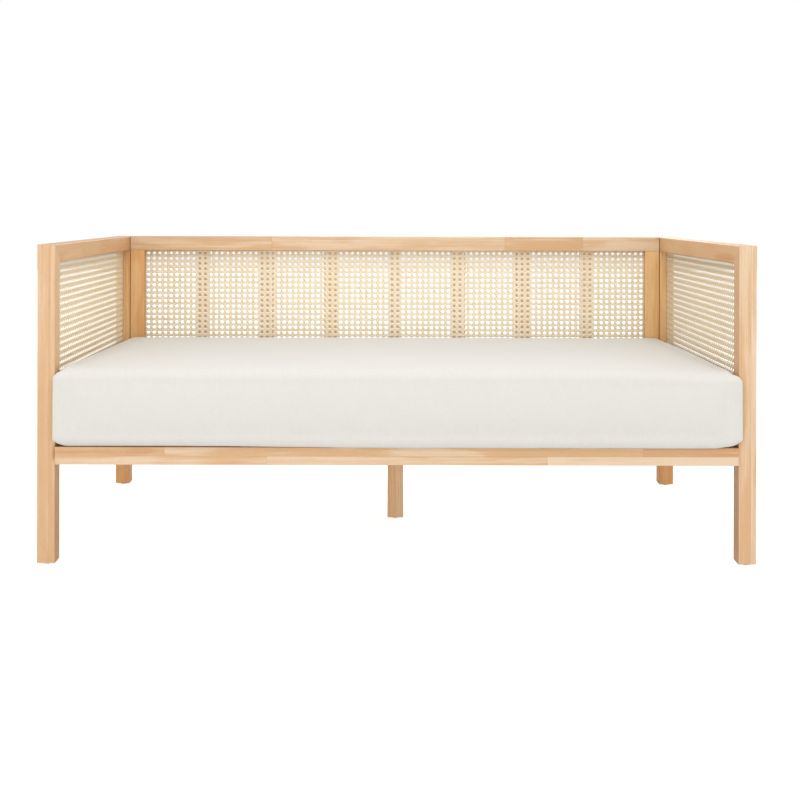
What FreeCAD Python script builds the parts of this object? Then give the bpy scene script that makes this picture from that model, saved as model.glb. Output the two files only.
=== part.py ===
import FreeCAD, Part
import os
import re
import Sketcher

# A three-sided daybed in solid wood: two end frames and a back frame, each filled with woven cane,
# a front rail, a slatted base on a centre beam and leg, and a loose mattress.
# Millimetres, +Z up. X runs along the bed, -Y is the open front, and the origin is on the floor
# under the middle of the bed.

# Driving dimensions: alias, value, what it is.
SIZES = [
    ("overall_length", 2000, "outside of one end frame to the outside of the other"),
    ("overall_depth", 990, "front of the front posts to the back of the back posts"),
    ("overall_height", 890, "floor to the top of the end and back frames"),
    ("post_width", 50, "side of every square post, and thickness of the frames"),
    ("rail_height", 50, "height of the rails"),
    ("seat_height", 328, "floor to the top of the front rail and of the slats"),
    ("edge_radius", 2, "rounding of the long edges of the bars"),
    ("back_gap", 2, "gap between the back frame and each back post"),
    ("cane_thickness", 3, "thickness of the woven cane"),
    ("cane_margin", 6, "cane held in the groove on each side"),
    ("groove_depth", 8, "depth of the cane groove"),
    ("groove_width", 3.2, "width of the cane groove"),
    ("back_slat_count", 7, "upright slats behind the back cane"),
    ("back_slat_width", 50, "width of an upright slat"),
    ("back_slat_thickness", 15, "thickness of an upright slat"),
    ("slat_tenon", 10, "length of an upright slat inside each rail"),
    ("slat_clearance", 0.5, "back cane to the upright slats"),
    ("fit_gap", 0.1, "clearance round a slat or fastener in its hole"),
    ("seat_slat_count", 14, "slats under the mattress"),
    ("seat_slat_width", 70, "width of a seat slat"),
    ("seat_slat_thickness", 18, "thickness of a seat slat"),
    ("seat_slat_gap", 2, "end of a seat slat to the rail"),
    ("cleat_depth", 25, "ledge that carries the slats, front to back"),
    ("cleat_height", 30, "height of the ledge"),
    ("cleat_gap", 1, "end of the ledge to the post"),
    ("beam_height", 32, "height of the centre beam"),
    ("support_setback", 17, "centre beam and leg, behind the middle of the bed"),
    ("bracket_sheet", 3, "sheet thickness of the beam hangers"),
    ("bracket_reach", 40, "beam hanger, out from the side rail"),
    ("bracket_ear", 20, "beam hanger's plate, past each side of its pocket"),
    ("beam_gap", 0.5, "centre beam to its hangers"),
    ("glide_height", 5, "foot glide, floor to the end of the post"),
    ("glide_radius", 12, "radius of a foot glide"),
    ("nail_radius", 1.5, "radius of a glide's nail"),
    ("nail_length", 15, "length of a glide's nail"),
    ("bolt_radius", 3, "radius of a frame bolt's shank"),
    ("bolt_length", 85, "length of a frame bolt with its head"),
    ("bolt_head_radius", 7.5, "radius of a frame bolt's head"),
    ("bolt_head_height", 3, "height of a frame bolt's head"),
    ("nut_radius", 5, "radius of a barrel nut"),
    ("nut_length", 25, "length of a barrel nut"),
    ("nut_setback", 25, "barrel nut's centre, in from the inner face of the post"),
    ("upper_bolt_height", 760, "height of the back frame's upper bolts"),
    ("dowel_radius", 4, "radius of a dowel"),
    ("dowel_length", 40, "length of a dowel"),
    ("dowel_spread", 12, "each dowel of a pair, out from the middle of the joint"),
    ("stile_dowel_spread", 11, "the same at the top of a stile, clear of the cane's groove"),
    ("mitre_dowel_shift", 7, "mitre dowels, towards the rail from the middle of the mitre"),
    ("screw_radius", 2, "radius of a wood screw's shank"),
    ("screw_head_radius", 4, "radius of a wood screw's head"),
    ("screw_head_height", 2.5, "height of a wood screw's head"),
    ("slat_screw_length", 30, "length of a slat screw"),
    ("cleat_screw_length", 40, "length of a ledge screw"),
    ("cleat_screw_count", 6, "screws through each ledge"),
    ("cleat_screw_spacing", 330, "distance between ledge screws"),
    ("cleat_screw_drop", 22, "ledge screws, below the top of the ledge"),
    ("bracket_screw_length", 25, "length of a hanger screw"),
    ("hanger_radius", 4, "radius of the centre leg's hanger bolt"),
    ("hanger_length", 65, "length of the centre leg's hanger bolt"),
    ("hanger_reach", 25, "hanger bolt inside the beam"),
    ("mattress_gap", 2, "mattress cover to the frame at the sides and the back"),
    ("mattress_lift_gap", 0.3, "mattress cover above the slats"),
    ("mattress_thickness", 210, "height of the mattress"),
    ("mattress_corner", 45, "radius of the mattress's upright corners"),
    ("mattress_edge", 30, "radius of the mattress's top and bottom edges"),
    ("cover_thickness", 8, "quilted cover round the foam core"),
    ("cover_gap", 0.3, "foam core to the inside of the cover"),
]

# Places shared by several pieces, worked out from the driving dimensions.
OUTER_X = "overall_length / 2"
INNER_X = "(overall_length / 2 - post_width)"
FRONT_Y = "-overall_depth / 2"
BACK_Y = "(overall_depth / 2 - post_width)"
RAIL_LOW = "(seat_height - rail_height)"
TOP_LOW = "(overall_height - rail_height)"
SIDE_RUN = "(overall_depth - 2 * post_width)"
BACK_X = "(overall_length / 2 - post_width - back_gap)"
PANEL_X = "(overall_length / 2 - 2 * post_width - back_gap)"
PANEL_HEIGHT = "(overall_height - rail_height - seat_height)"
GROOVE_LOW = "(post_width - groove_width) / 2"
BACK_SLAT_PITCH = "((2 * (" + PANEL_X + ") + back_slat_width) / (back_slat_count + 1))"
BACK_SLAT_SETBACK = "((post_width + cane_thickness) / 2 + slat_clearance)"
SEAT_SLAT_PITCH = "(2 * (" + INNER_X + ") / seat_slat_count)"
SEAT_SLAT_LOW = "(seat_height - seat_slat_thickness)"
LEDGE_MIDDLE = "(" + BACK_Y + " - cleat_depth / 2)"
BEAM_LOW = "(seat_height - seat_slat_thickness - beam_height)"
RAIL_MIDDLE = "(seat_height - rail_height / 2)"
TOP_MIDDLE = "(overall_height - rail_height / 2)"
BACK_MIDDLE = "(overall_depth / 2 - post_width / 2)"
NUT_X = "(overall_length / 2 - post_width - nut_setback)"

SIDES = ("left", "right")
PLANES = {"X": "YZ_Plane", "Y": "XZ_Plane", "Z": "XY_Plane"}
DIRECTIONS = {
    "+X": FreeCAD.Vector(1, 0, 0),
    "-X": FreeCAD.Vector(-1, 0, 0),
    "+Y": FreeCAD.Vector(0, 1, 0),
    "-Y": FreeCAD.Vector(0, -1, 0),
    "+Z": FreeCAD.Vector(0, 0, 1),
    "-Z": FreeCAD.Vector(0, 0, -1),
}

document = FreeCAD.newDocument("Daybed")
sheet = document.addObject("Spreadsheet::Sheet", "Sizes")
subparts = []


def fill_sheet():
    """Writes every driving dimension to the sheet: its name, its value and what it is."""
    for row, (alias, value, meaning) in enumerate(SIZES, 1):
        sheet.set(f"A{row}", alias)
        sheet.set(f"B{row}", str(value))
        sheet.setAlias(f"B{row}", alias)
        sheet.set(f"C{row}", meaning)
    document.recompute()


def sized(text):
    """An expression in which each word names a cell of the sheet."""
    return re.sub(r"[a-z_]+", lambda word: "Sizes." + word.group(), str(text))


def bind(item, target, text):
    item.setExpression(target, sized(text))


def value_of(text):
    return float(sheet.evalExpression(sized(text)))


def place(item, low):
    for axis, text in zip("xyz", low):
        bind(item, f"Placement.Base.{axis}", text)


def keep(item):
    """Adds a finished piece to the list of sub-parts to be written."""
    subparts.append(item)
    return item


def mirrored(side, text):
    """A distance from the middle of the bed as an X on the left or right side."""
    return f"-({text})" if side == "left" else f"({text})"


def from_outside(side, distance, length="0"):
    """Where a stretch starts across a post, measured from the post's left face."""
    if side == "left":
        return f"({distance})"
    return f"(post_width - ({distance}) - ({length}))"


# ---------------------------------------------------------------- sketches and features


def origin_feature(body, role):
    return [item for item in body.Origin.OriginFeatures if item.Role == role][0]


def new_sketch(body, name, axis, start):
    """A sketch across an axis of the body, at a distance start along that axis."""
    sketch = body.newObject("Sketcher::SketchObject", name)
    sketch.AttachmentSupport = [(origin_feature(body, PLANES[axis]), "")]
    sketch.MapMode = "FlatFace"
    sign = "-" if axis == "Y" else ""
    bind(sketch, "AttachmentOffset.Base.z", f"{sign}({start})")
    return sketch


def hold_point(sketch, geometry, vertex, across, up, name):
    """Holds a point of the sketch at its two distances from the sketch's origin."""
    for kind, text in (("DistanceX", across), ("DistanceY", up)):
        if abs(value_of(text)) < 1e-9:
            line = -2 if kind == "DistanceX" else -1
            sketch.addConstraint(Sketcher.Constraint("PointOnObject", geometry, vertex, line))
            continue
        held = Sketcher.Constraint(kind, -1, 1, geometry, vertex, value_of(text))
        index = sketch.addConstraint(held)
        sketch.renameConstraint(index, f"{name}_{kind}")
        bind(sketch, f"Constraints.{name}_{kind}", text)


def draw_outline(sketch, points):
    """A closed outline of straight lines through points given as pairs of expressions."""
    places = [FreeCAD.Vector(value_of(across), value_of(up), 0) for across, up in points]
    count = len(places)
    for index in range(count):
        line = Part.LineSegment(places[index], places[(index + 1) % count])
        sketch.addGeometry(line, False)
    for index in range(count):
        after = (index + 1) % count
        sketch.addConstraint(Sketcher.Constraint("Coincident", index, 2, after, 1))
    for index, (across, up) in enumerate(points):
        hold_point(sketch, index, 1, across, up, f"corner{index}")


def draw_rectangle(sketch, low, size):
    high = [f"({start}) + ({length})" for start, length in zip(low, size)]
    draw_outline(sketch, [low, (high[0], low[1]), high, (low[0], high[1])])


def draw_circles(sketch, centres, radius):
    for index, (across, up) in enumerate(centres):
        middle = FreeCAD.Vector(value_of(across), value_of(up), 0)
        circle = Part.Circle(middle, FreeCAD.Vector(0, 0, 1), value_of(radius))
        sketch.addGeometry(circle, False)
        hold_point(sketch, index, 3, across, up, f"centre{index}")
        held = sketch.addConstraint(Sketcher.Constraint("Radius", index, value_of(radius)))
        sketch.renameConstraint(held, f"radius{index}")
        bind(sketch, f"Constraints.radius{index}", radius)


def pad(body, name, axis, sketch, length):
    """Pads a sketch along the positive direction of the axis."""
    feature = body.newObject("PartDesign::Pad", name)
    feature.Profile = sketch
    feature.Reversed = axis == "Y"
    bind(feature, "Length", length)
    document.recompute()
    return feature


def pocket(body, name, axis, sketch, length):
    """Cuts a sketch out of the body along the positive direction of the axis."""
    before = body.Shape.Volume
    feature = body.newObject("PartDesign::Pocket", name)
    feature.Profile = sketch
    feature.Reversed = axis != "Y"
    bind(feature, "Length", length)
    document.recompute()
    if not body.Shape.Volume < before:
        raise RuntimeError(f"{body.Label}: {name} removes nothing")
    return feature


def across_axis(axis, triple):
    """The two entries of a triple that lie across the axis, in X, Y, Z order."""
    return [entry for letter, entry in zip("XYZ", triple) if letter != axis]


def block(body, name, axis, low, size):
    """Adds a rectangular block between a low corner and its sizes, in the body's own frame."""
    sketch = new_sketch(body, name + "_sketch", axis, low["XYZ".index(axis)])
    draw_rectangle(sketch, across_axis(axis, low), across_axis(axis, size))
    return pad(body, name, axis, sketch, size["XYZ".index(axis)])


def cut_block(body, name, low, size, axis="Z"):
    """Cuts a rectangular block out of the body, in the body's own frame."""
    sketch = new_sketch(body, name + "_sketch", axis, low["XYZ".index(axis)])
    draw_rectangle(sketch, across_axis(axis, low), across_axis(axis, size))
    return pocket(body, name, axis, sketch, size["XYZ".index(axis)])


def cut_mitre(body, name, points):
    """Cuts a corner off, across the whole thickness; points are Y and Z in the body's frame."""
    sketch = new_sketch(body, name + "_sketch", "X", "0")
    draw_outline(sketch, points)
    return pocket(body, name, "X", sketch, "post_width")


def bore(body, name, axis, start, centres, radius, length):
    """Round holes along an axis, from start; centres are the other two coordinates."""
    sketch = new_sketch(body, name + "_sketch", axis, start)
    draw_circles(sketch, centres, f"({radius}) + fit_gap")
    return pocket(body, name, axis, sketch, length)


def repeat(body, name, original, axis, span, count):
    """Repeats a feature along an axis of the body."""
    pattern = body.newObject("PartDesign::LinearPattern", name)
    pattern.Originals = [original]
    pattern.Direction = (origin_feature(body, axis + "_Axis"), [""])
    bind(pattern, "Length", span)
    bind(pattern, "Occurrences", count)
    before = body.Shape.Volume
    body.Tip = pattern
    document.recompute()
    if not body.Shape.Volume < before:
        raise RuntimeError(f"{body.Label}: {name} repeats nothing")
    return pattern


def bar(label, axis, low, size):
    """A straight bar along an axis, with its four long edges rounded."""
    body = document.addObject("PartDesign::Body", label)
    body.Label = label
    place(body, low)
    blank = block(body, label + "_blank", axis, ("0", "0", "0"), size)
    direction = DIRECTIONS["+" + axis]
    long_edges = [
        f"Edge{number}"
        for number, edge in enumerate(blank.Shape.Edges, 1)
        if abs(edge.tangentAt(edge.FirstParameter).dot(direction)) > 0.99
    ]
    rounding = body.newObject("PartDesign::Fillet", label + "_rounding")
    rounding.Base = (blank, long_edges)
    bind(rounding, "Radius", "edge_radius")
    document.recompute()
    return keep(body)


# ---------------------------------------------------------------- solids for fasteners


def cylinder(name, start, direction, radius, length):
    """A round solid from a point, along a direction."""
    solid = document.addObject("Part::Cylinder", name)
    turn = FreeCAD.Rotation(FreeCAD.Vector(0, 0, 1), DIRECTIONS[direction])
    solid.Placement = FreeCAD.Placement(FreeCAD.Vector(0, 0, 0), turn)
    place(solid, start)
    bind(solid, "Radius", radius)
    bind(solid, "Height", length)
    return solid


def headed(name, start, direction, head, shank_radius, length):
    """A screw or bolt: its head starts at a point, and its shank runs on along the direction."""
    head_radius, head_height = head
    cap = cylinder(name + "_head", start, direction, head_radius, head_height)
    shank = cylinder(name + "_shank", start, direction, shank_radius, length)
    whole = document.addObject("Part::Fuse", name)
    whole.Base = cap
    whole.Tool = shank
    return whole


def group(label, solids):
    """Identical small pieces that share one node, as separate solids."""
    together = document.addObject("Part::Compound", label)
    together.Label = label
    together.Links = solids
    return keep(together)


def dowel_pair(middle, spread="dowel_spread"):
    """The two dowels of a joint, one each side of its middle."""
    return [f"{middle} - {spread}", f"{middle} + {spread}"]


# ---------------------------------------------------------------- end frames


def cane_groove_in_post(post, depth_low):
    """The upright groove that holds the edge of the end frame's cane."""
    low = (GROOVE_LOW, depth_low, "seat_height - groove_depth - glide_height")
    size = ("groove_width", "groove_depth", f"{PANEL_HEIGHT} + 2 * groove_depth")
    cut_block(post, post.Label + "_groove", low, size)


def post_joint_bores(post, rail_face, mitre_start):
    """Holes for the dowels of the side rail and of the top rail's mitre, and for the glide's nail."""
    rail = [("post_width / 2", z + " - glide_height") for z in dowel_pair(RAIL_MIDDLE)]
    bore(post, post.Label + "_rail_dowels", "Y", rail_face, rail, "dowel_radius", "dowel_length / 2")
    mitre = [(x, TOP_MIDDLE + " - glide_height") for x in dowel_pair("post_width / 2")]
    bore(post, post.Label + "_mitre_dowels", "Y", mitre_start, mitre, "dowel_radius", "dowel_length")
    foot = [("post_width / 2", "post_width / 2")]
    bore(post, post.Label + "_nail_hole", "Z", "0", foot, "nail_radius", "nail_length")


def bolt_bores(post, side, heights):
    """Through holes and head recesses for the frame bolts that cross the post."""
    centres = [("post_width / 2", f"{height} - glide_height") for height in heights]
    bore(post, post.Label + "_bolt_holes", "X", "0", centres, "bolt_radius", "post_width")
    recess = "bolt_head_height"
    start = from_outside(side, "0", recess)
    bore(post, post.Label + "_head_recesses", "X", start, centres, "bolt_head_radius", recess)


def front_post(side):
    """A front post: its top is mitred down towards the inside of the end frame."""
    low_x = f"-{OUTER_X}" if side == "left" else INNER_X
    post = bar(
        f"{side}_front_post",
        "Z",
        (low_x, FRONT_Y, "glide_height"),
        ("post_width", "post_width", "overall_height - glide_height"),
    )
    top = "(overall_height - glide_height)"
    low_corner = f"{top} - rail_height"
    cut_mitre(post, post.Label + "_mitre", [("post_width", low_corner), ("post_width", top), ("0", top)])
    cane_groove_in_post(post, "post_width - groove_depth")
    mitre_start = "(post_width - dowel_length) / 2 + mitre_dowel_shift"
    post_joint_bores(post, "post_width - dowel_length / 2", mitre_start)
    bolt_bores(post, side, [RAIL_MIDDLE])
    rail = [("post_width / 2", z + " - glide_height") for z in dowel_pair(RAIL_MIDDLE)]
    start = from_outside(side, "post_width - dowel_length / 2", "dowel_length / 2")
    bore(post, post.Label + "_front_dowels", "X", start, rail, "dowel_radius", "dowel_length / 2")


def back_post(side):
    """A back post: its top is mitred down towards the front."""
    low_x = f"-{OUTER_X}" if side == "left" else INNER_X
    post = bar(
        f"{side}_back_post",
        "Z",
        (low_x, BACK_Y, "glide_height"),
        ("post_width", "post_width", "overall_height - glide_height"),
    )
    top = "(overall_height - glide_height)"
    cut_mitre(post, post.Label + "_mitre", [("0", f"{top} - rail_height"), ("post_width", top), ("0", top)])
    cane_groove_in_post(post, "0")
    mitre_start = "(post_width - dowel_length) / 2 - mitre_dowel_shift"
    post_joint_bores(post, "0", mitre_start)
    bolt_bores(post, side, [RAIL_MIDDLE, "upper_bolt_height"])


def top_rail(side):
    """The top rail of an end frame, mitred at both ends, with the cane's groove underneath."""
    low_x = f"-{OUTER_X}" if side == "left" else INNER_X
    rail = bar(
        f"{side}_top_rail",
        "Y",
        (low_x, FRONT_Y, TOP_LOW),
        ("post_width", "overall_depth", "rail_height"),
    )
    far = "overall_depth"
    cut_mitre(rail, rail.Label + "_front_mitre", [("0", "0"), ("post_width", "0"), ("0", "rail_height")])
    back_corner = [(f"{far} - post_width", "0"), (far, "0"), (far, "rail_height")]
    cut_mitre(rail, rail.Label + "_back_mitre", back_corner)
    low = (GROOVE_LOW, "post_width - groove_depth", "0")
    size = ("groove_width", f"{SIDE_RUN} + 2 * groove_depth", "groove_depth")
    cut_block(rail, rail.Label + "_groove", low, size)
    centres = [(x, "rail_height / 2") for x in dowel_pair("post_width / 2")]
    front = "(post_width - dowel_length) / 2 + mitre_dowel_shift"
    bore(rail, rail.Label + "_front_dowels", "Y", front, centres, "dowel_radius", "dowel_length")
    back = f"{far} - (post_width + dowel_length) / 2 - mitre_dowel_shift"
    bore(rail, rail.Label + "_back_dowels", "Y", back, centres, "dowel_radius", "dowel_length")


def side_rail(side):
    """The lower rail of an end frame, with the cane's groove on top and the beam hanger's holes."""
    low_x = f"-{OUTER_X}" if side == "left" else INNER_X
    rail = bar(
        f"{side}_side_rail",
        "Y",
        (low_x, f"-{SIDE_RUN} / 2", RAIL_LOW),
        ("post_width", SIDE_RUN, "rail_height"),
    )
    low = (GROOVE_LOW, "0", "rail_height - groove_depth")
    cut_block(rail, rail.Label + "_groove", low, ("groove_width", SIDE_RUN, "groove_depth"))
    centres = [("post_width / 2", z) for z in dowel_pair("rail_height / 2")]
    half = "dowel_length / 2"
    bore(rail, rail.Label + "_front_dowels", "Y", "0", centres, "dowel_radius", half)
    bore(rail, rail.Label + "_back_dowels", "Y", f"{SIDE_RUN} - {half}", centres, "dowel_radius", half)
    bite = "(bracket_screw_length - screw_head_height - bracket_sheet)"
    start = from_outside(side, f"post_width - {bite}", bite)
    heights = bracket_screw_places()
    screws = [(f"{SIDE_RUN} / 2 + {y}", f"{z} - {RAIL_LOW}") for y, z in heights]
    bore(rail, rail.Label + "_hanger_screws", "X", start, screws, "screw_radius", bite)


def end_cane(side):
    """The woven cane of an end frame, in the middle of the frame's thickness."""
    sheet_of_cane = document.addObject("Part::Box", f"{side}_cane")
    sheet_of_cane.Label = f"{side}_cane"
    middle = mirrored(side, f"{OUTER_X} - post_width / 2")
    low = (f"{middle} - cane_thickness / 2", f"-{SIDE_RUN} / 2 - cane_margin", "seat_height - cane_margin")
    place(sheet_of_cane, low)
    bind(sheet_of_cane, "Length", "cane_thickness")
    bind(sheet_of_cane, "Width", f"{SIDE_RUN} + 2 * cane_margin")
    bind(sheet_of_cane, "Height", f"{PANEL_HEIGHT} + 2 * cane_margin")
    keep(sheet_of_cane)


# ---------------------------------------------------------------- front rail


def front_rail():
    """The front rail, flush with the front posts, bolted and dowelled to them."""
    length = f"2 * {INNER_X}"
    rail = bar("front_rail", "X", (f"-{INNER_X}", FRONT_Y, RAIL_LOW), (length, "post_width", "rail_height"))
    centres = [("post_width / 2", z) for z in dowel_pair("rail_height / 2")]
    middle = [("post_width / 2", "rail_height / 2")]
    half = "dowel_length / 2"
    reach = "(bolt_length - post_width)"
    for side, dowel_start, bolt_start, nut_x in (
        ("left", "0", "0", "nut_setback"),
        ("right", f"{length} - {half}", f"{length} - {reach}", f"{length} - nut_setback"),
    ):
        bore(rail, f"front_rail_{side}_dowels", "X", dowel_start, centres, "dowel_radius", half)
        bore(rail, f"front_rail_{side}_bolt", "X", bolt_start, middle, "bolt_radius", reach)
        nut = "(post_width + nut_length) / 2"
        hole = [(nut_x, "rail_height / 2")]
        bore(rail, f"front_rail_{side}_nut", "Y", f"post_width - {nut}", hole, "nut_radius", nut)
    ledge_screw_bores(rail, INNER_X, "post_width - (cleat_screw_length - cleat_depth)")


def ledge_screw_bores(rail, half_length, start):
    """The row of holes for the ledge's screws, in a rail."""
    first = f"{half_length} - (cleat_screw_count - 1) * cleat_screw_spacing / 2"
    height = f"{SEAT_SLAT_LOW} - cleat_screw_drop - {RAIL_LOW}"
    bite = "cleat_screw_length - cleat_depth"
    hole = bore(rail, rail.Label + "_ledge_screw", "Y", start, [(first, height)], "screw_radius", bite)
    span = "(cleat_screw_count - 1) * cleat_screw_spacing"
    repeat(rail, rail.Label + "_ledge_screws", hole, "X", span, "cleat_screw_count")


# ---------------------------------------------------------------- back frame


def slat_mortises(rail, first_x, low_z):
    """The row of mortises that take the ends of the upright slats."""
    low = (f"{first_x} - fit_gap", f"{BACK_SLAT_SETBACK} - fit_gap", low_z)
    size = ("back_slat_width + 2 * fit_gap", "back_slat_thickness + 2 * fit_gap", "slat_tenon")
    hole = cut_block(rail, rail.Label + "_mortise", low, size)
    span = f"(back_slat_count - 1) * {BACK_SLAT_PITCH}"
    repeat(rail, rail.Label + "_mortises", hole, "X", span, "back_slat_count")


def back_top_rail():
    """The back frame's top rail, over both stiles."""
    length = f"2 * {BACK_X}"
    rail = bar("back_top_rail", "X", (f"-{BACK_X}", BACK_Y, TOP_LOW), (length, "post_width", "rail_height"))
    low = ("post_width - groove_depth", GROOVE_LOW, "0")
    size = (f"2 * {PANEL_X} + 2 * groove_depth", "groove_width", "groove_depth")
    cut_block(rail, "back_top_rail_groove", low, size)
    slat_mortises(rail, f"post_width - back_slat_width + {BACK_SLAT_PITCH}", "0")
    half = "dowel_length / 2"
    for side, middle in (("left", "post_width / 2"), ("right", f"{length} - post_width / 2")):
        centres = [(x, "post_width / 2") for x in dowel_pair(middle, "stile_dowel_spread")]
        bore(rail, f"back_top_rail_{side}_dowels", "Z", "0", centres, "dowel_radius", half)


def back_bottom_rail():
    """The back frame's lower rail, between the stiles."""
    length = f"2 * {PANEL_X}"
    low = (f"-{PANEL_X}", BACK_Y, RAIL_LOW)
    rail = bar("back_bottom_rail", "X", low, (length, "post_width", "rail_height"))
    groove = ("0", GROOVE_LOW, "rail_height - groove_depth")
    cut_block(rail, "back_bottom_rail_groove", groove, (length, "groove_width", "groove_depth"))
    slat_mortises(rail, f"{BACK_SLAT_PITCH} - back_slat_width", "rail_height - slat_tenon")
    centres = [("post_width / 2", z) for z in dowel_pair("rail_height / 2")]
    half = "dowel_length / 2"
    bore(rail, "back_bottom_rail_left_dowels", "X", "0", centres, "dowel_radius", half)
    bore(rail, "back_bottom_rail_right_dowels", "X", f"{length} - {half}", centres, "dowel_radius", half)
    ledge_screw_bores(rail, PANEL_X, "0")


def back_stile(side):
    """An upright of the back frame, bolted to the back post beside it."""
    low_x = f"-{BACK_X}" if side == "left" else PANEL_X
    height = f"({TOP_LOW} - {RAIL_LOW})"
    stile = bar(
        f"back_{side}_stile",
        "Z",
        (low_x, BACK_Y, RAIL_LOW),
        ("post_width", "post_width", height),
    )
    groove_x = from_outside(side, "post_width - groove_depth", "groove_depth")
    low = (groove_x, GROOVE_LOW, "rail_height - groove_depth")
    size = ("groove_depth", "groove_width", f"{PANEL_HEIGHT} + groove_depth")
    cut_block(stile, stile.Label + "_groove", low, size)
    half = "dowel_length / 2"
    tops = [(x, "post_width / 2") for x in dowel_pair("post_width / 2", "stile_dowel_spread")]
    bore(stile, stile.Label + "_top_dowels", "Z", f"{height} - {half}", tops, "dowel_radius", half)
    rail = [("post_width / 2", z) for z in dowel_pair("rail_height / 2")]
    start = from_outside(side, f"post_width - {half}", half)
    bore(stile, stile.Label + "_rail_dowels", "X", start, rail, "dowel_radius", half)
    heights = [f"{z} - {RAIL_LOW}" for z in (RAIL_MIDDLE, "upper_bolt_height")]
    reach = "(bolt_length - post_width - back_gap)"
    start = from_outside(side, "0", reach)
    bolts = [("post_width / 2", z) for z in heights]
    bore(stile, stile.Label + "_bolt_holes", "X", start, bolts, "bolt_radius", reach)
    nut_x = from_outside(side, "nut_setback - back_gap")
    nuts = [(nut_x, z) for z in heights]
    depth = "(post_width + nut_length) / 2"
    bore(stile, stile.Label + "_nut_holes", "Y", f"post_width - {depth}", nuts, "nut_radius", depth)


def back_slat(number):
    """One upright slat behind the back cane, its ends in the rails' mortises."""
    low_x = f"-{PANEL_X} - back_slat_width + {number} * {BACK_SLAT_PITCH}"
    low = (low_x, f"{BACK_Y} + {BACK_SLAT_SETBACK}", "seat_height - slat_tenon")
    size = ("back_slat_width", "back_slat_thickness", f"{PANEL_HEIGHT} + 2 * slat_tenon")
    bar(f"back_slat_{number}", "Z", low, size)


def back_cane():
    """The woven cane of the back frame, in the middle of the frame's thickness."""
    sheet_of_cane = document.addObject("Part::Box", "back_cane")
    sheet_of_cane.Label = "back_cane"
    depth = f"{BACK_MIDDLE} - cane_thickness / 2"
    place(sheet_of_cane, (f"-{PANEL_X} - cane_margin", depth, "seat_height - cane_margin"))
    bind(sheet_of_cane, "Length", f"2 * {PANEL_X} + 2 * cane_margin")
    bind(sheet_of_cane, "Width", "cane_thickness")
    bind(sheet_of_cane, "Height", f"{PANEL_HEIGHT} + 2 * cane_margin")
    keep(sheet_of_cane)


# ---------------------------------------------------------------- slatted base


def ledge(label, low_y, screw_start, head_start):
    """A ledge along a rail that carries the ends of the seat slats."""
    length = f"(2 * {INNER_X} - 2 * cleat_gap)"
    low = (f"-{INNER_X} + cleat_gap", low_y, f"{SEAT_SLAT_LOW} - cleat_height")
    strip = bar(label, "X", low, (length, "cleat_depth", "cleat_height"))
    bite = "(slat_screw_length - seat_slat_thickness)"
    first = [(f"{SEAT_SLAT_PITCH} / 2 - cleat_gap", "cleat_depth / 2")]
    hole = bore(strip, label + "_slat_screw", "Z", f"cleat_height - {bite}", first, "screw_radius", bite)
    span = f"(seat_slat_count - 1) * {SEAT_SLAT_PITCH}"
    repeat(strip, label + "_slat_screws", hole, "X", span, "seat_slat_count")
    span = "(cleat_screw_count - 1) * cleat_screw_spacing"
    first = [(f"{length} / 2 - {span} / 2", "cleat_height - cleat_screw_drop")]
    hole = bore(strip, label + "_rail_screw", "Y", screw_start, first, "screw_radius", "cleat_depth")
    repeat(strip, label + "_rail_screws", hole, "X", span, "cleat_screw_count")
    head = "screw_head_height"
    hole = bore(strip, label + "_head_recess", "Y", head_start, first, "screw_head_radius", head)
    repeat(strip, label + "_head_recesses", hole, "X", span, "cleat_screw_count")


def seat_slat(number):
    """One slat of the base, screwed down on the two ledges."""
    low_x = f"-{INNER_X} + ({number} - 0.5) * {SEAT_SLAT_PITCH} - seat_slat_width / 2"
    length = f"({SIDE_RUN} - 2 * seat_slat_gap)"
    low = (low_x, f"-{length} / 2", SEAT_SLAT_LOW)
    slat = bar(f"seat_slat_{number}", "Y", low, ("seat_slat_width", length, "seat_slat_thickness"))
    ends = ("cleat_depth / 2 - seat_slat_gap", f"{length} - cleat_depth / 2 + seat_slat_gap")
    centres = [("seat_slat_width / 2", y) for y in ends]
    thickness = "seat_slat_thickness"
    bore(slat, slat.Label + "_screw_holes", "Z", "0", centres, "screw_radius", thickness)
    head = "screw_head_height"
    start = f"{thickness} - {head}"
    bore(slat, slat.Label + "_head_recesses", "Z", start, centres, "screw_head_radius", head)


def centre_beam():
    """The beam under the slats, from end frame to end frame, on two hangers and the centre leg."""
    length = f"(2 * ({INNER_X} - bracket_sheet - beam_gap))"
    low = (f"-{length} / 2", "support_setback - post_width / 2", BEAM_LOW)
    beam = bar("centre_beam", "X", low, (length, "post_width", "beam_height"))
    hole = [(f"{length} / 2", "post_width / 2")]
    bore(beam, "centre_beam_leg_bolt", "Z", "0", hole, "hanger_radius", "hanger_reach")


def centre_leg():
    """The fifth leg, under the middle of the beam."""
    low = ("-post_width / 2", "support_setback - post_width / 2", "glide_height")
    height = f"({BEAM_LOW} - glide_height)"
    leg = bar("centre_leg", "Z", low, ("post_width", "post_width", height))
    middle = [("post_width / 2", "post_width / 2")]
    depth = "(hanger_length - hanger_reach)"
    bore(leg, "centre_leg_bolt", "Z", f"{height} - {depth}", middle, "hanger_radius", depth)
    bore(leg, "centre_leg_nail_hole", "Z", "0", middle, "nail_radius", "nail_length")


def bracket_screw_places():
    """Y from the middle of the bed, and Z, of the two screws of a beam hanger."""
    out = "(post_width / 2 + beam_gap + bracket_sheet + bracket_ear / 2)"
    height = f"({BEAM_LOW} + beam_height / 2)"
    return [(f"support_setback - {out}", height), (f"support_setback + {out}", height)]


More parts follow.
